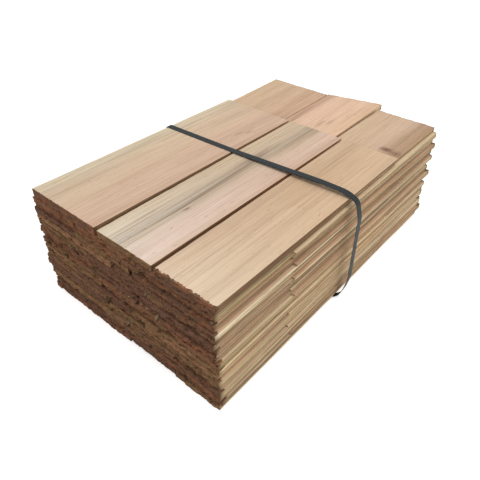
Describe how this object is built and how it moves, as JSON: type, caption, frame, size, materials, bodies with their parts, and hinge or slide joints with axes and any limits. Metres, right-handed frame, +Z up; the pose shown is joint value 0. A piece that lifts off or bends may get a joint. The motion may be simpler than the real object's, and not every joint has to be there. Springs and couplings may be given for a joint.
{
  "type": "bundle of cedar shingles",
  "caption": "Strapped bundle of tapersawn cedar shingles laid in two tiers, butts outward at both ends, held by one black plastic strap.",
  "frame": {"origin": "on the floor, below the middle of the bundle's outline, the strap's bow included", "axes": "+X across the bundle, towards the side where the strap stands off; +Y along the shingles, towards the far butts; +Z up"},
  "size_m": [0.4166, 0.6432, 0.2149],
  "materials": {
    "cedar": "rough sawn",
    "strapping": "embossed"
  },
  "bodies": {
    "root": {"top_near_shingle_left": "cedar", "top_near_shingle_middle": "cedar", "top_near_shingle_right": "cedar", "near_course_02": "cedar", "near_course_03": "cedar", "near_course_04": "cedar", "near_course_05": "cedar", "near_course_06": "cedar", "near_course_07": "cedar", "near_course_08": "cedar", "near_course_09": "cedar", "near_course_10": "cedar", "near_course_11": "cedar", "near_course_12": "cedar", "near_course_13": "cedar", "near_course_14": "cedar", "near_course_15": "cedar", "near_course_16": "cedar", "near_course_17": "cedar", "near_course_18": "cedar", "top_far_shingle_left": "cedar", "top_far_shingle_middle": "cedar", "top_far_shingle_right": "cedar", "far_course_02": "cedar", "far_course_03": "cedar", "far_course_04": "cedar", "far_course_05": "cedar", "far_course_06": "cedar", "far_course_07": "cedar", "far_course_08": "cedar", "far_course_09": "cedar", "far_course_10": "cedar", "far_course_11": "cedar", "far_course_12": "cedar", "far_course_13": "cedar", "far_course_14": "cedar", "far_course_15": "cedar", "far_course_16": "cedar", "far_course_17": "cedar", "far_course_18": "cedar", "strap": "strapping"}
  },
  "joints": []
}
